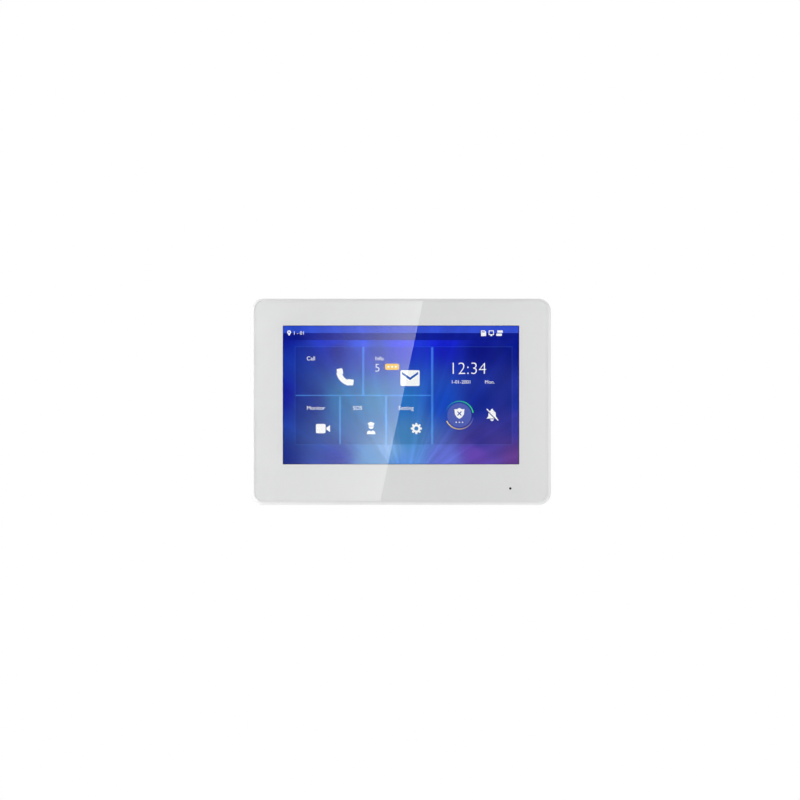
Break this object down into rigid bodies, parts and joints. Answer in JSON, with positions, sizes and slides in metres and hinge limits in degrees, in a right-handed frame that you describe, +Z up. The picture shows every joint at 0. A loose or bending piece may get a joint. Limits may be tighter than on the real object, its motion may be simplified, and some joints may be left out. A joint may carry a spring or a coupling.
{
  "type": "video intercom monitor",
  "caption": "Wall-hung indoor touch monitor with a flat white-bordered glass over a landscape screen, in a rounded two-part case that lifts off a hooked steel bracket.",
  "frame": {"origin": "the wall plane behind the centre of the case's outline, on the bracket's back face", "axes": "+X to the viewer's right, +Y into the wall, +Z up; the screen faces -Y"},
  "size_m": [0.196, 0.0245, 0.1348],
  "materials": {
    "gloss_white": "moulded ABS, glossy",
    "matte_white": "moulded ABS, fine matte grain",
    "cover_glass": "polished glass with a white printed border behind it",
    "touch_glass": "clear laminated film on glass",
    "display": "lit liquid-crystal panel",
    "acrylic": "clear moulded acrylic",
    "tape": "black foam tape",
    "zinc_steel": "zinc-plated sheet steel",
    "screw_steel": "nickel-plated steel",
    "board": "green solder mask on glass-epoxy",
    "black_plastic": "black moulded plastic",
    "green_plastic": "green moulded polyamide",
    "nylon": "natural nylon",
    "rubber": "black silicone rubber",
    "foam": "black foam or open cloth",
    "flex": "amber polyimide film",
    "wire": "red PVC insulation",
    "can": "bright drawn can",
    "ferrite": "dark ferrite and resin",
    "paper": "black pressed paper",
    "copper": "enamelled copper winding",
    "gold": "gold-plated bronze"
  },
  "bodies": {
    "bracket": {"wall_bracket": "zinc_steel"},
    "monitor": {"cover_glass": "cover_glass", "glass_tape": "tape", "touch_sensor": "touch_glass", "touch_flex": "flex", "lcd_cell": "display", "light_guide": "acrylic", "led_strip": "nylon", "backlight_tray": "zinc_steel", "lcd_flex": "flex", "front_frame": "gloss_white", "chassis_plate": "zinc_steel", "main_board": "board", "processor_shield": "zinc_steel", "poe_transformer": "ferrite", "power_inductor": "ferrite", "capacitor_1": "can", "capacitor_2": "can", "coin_cell": "can", "coin_cell_holder": "nylon", "network_jack_shell": "zinc_steel", "network_jack_insert": "black_plastic", "network_jack_contacts": "gold", "alarm_header": "green_plastic", "power_header": "green_plastic", "sd_socket": "zinc_steel", "reset_switch": "black_plastic", "lcd_flex_socket": "nylon", "touch_flex_socket": "nylon", "speaker_socket": "nylon", "mic_socket": "nylon", "speaker_basket": "black_plastic", "speaker_magnet": "zinc_steel", "speaker_gasket": "foam", "grille_cloth": "foam", "mic_boot": "rubber", "mic_capsule": "can", "mic_felt": "foam", "rear_cover": "matte_white", "speaker_lead": "wire", "mic_lead": "wire", "case_screw_1": "screw_steel", "chassis_screw_1": "screw_steel", "board_screw_1": "screw_steel", "case_screw_2": "screw_steel", "chassis_screw_2": "screw_steel", "board_screw_2": "screw_steel", "case_screw_3": "screw_steel", "chassis_screw_3": "screw_steel", "board_screw_3": "screw_steel", "case_screw_4": "screw_steel", "chassis_screw_4": "screw_steel", "board_screw_4": "screw_steel"},
    "alarm_plug": {"alarm_plug": "green_plastic"},
    "power_plug": {"power_plug": "green_plastic"},
    "sd_card": {"sd_card": "black_plastic"},
    "reset_key": {"reset_key": "nylon"},
    "speaker_cone": {"speaker_cone": "paper", "voice_coil": "copper"}
  },
  "joints": [
    {"name": "monitor_lift", "type": "slide", "parent": "bracket", "child": "monitor", "axis": [0, 0, 1], "range_m": [0, 0.007]},
    {"name": "alarm_plug_pull", "type": "slide", "parent": "monitor", "child": "alarm_plug", "axis": [0, 0, -1], "range_m": [0, 0.009]},
    {"name": "power_plug_pull", "type": "slide", "parent": "monitor", "child": "power_plug", "axis": [0, 0, -1], "range_m": [0, 0.009]},
    {"name": "sd_card_slide", "type": "slide", "parent": "monitor", "child": "sd_card", "axis": [1, 0, 0], "range_m": [-0.0006, 0.012]},
    {"name": "reset_key_press", "type": "slide", "parent": "monitor", "child": "reset_key", "axis": [0, -1, 0], "range_m": [0, 0.0003], "stiffness_N_per_m": 4000, "springref_m": -0.0004},
    {"name": "speaker_cone_travel", "type": "slide", "parent": "monitor", "child": "speaker_cone", "axis": [0, -1, 0], "range_m": [-0.0005, 0.0005], "stiffness_N_per_m": 1500}
  ]
}
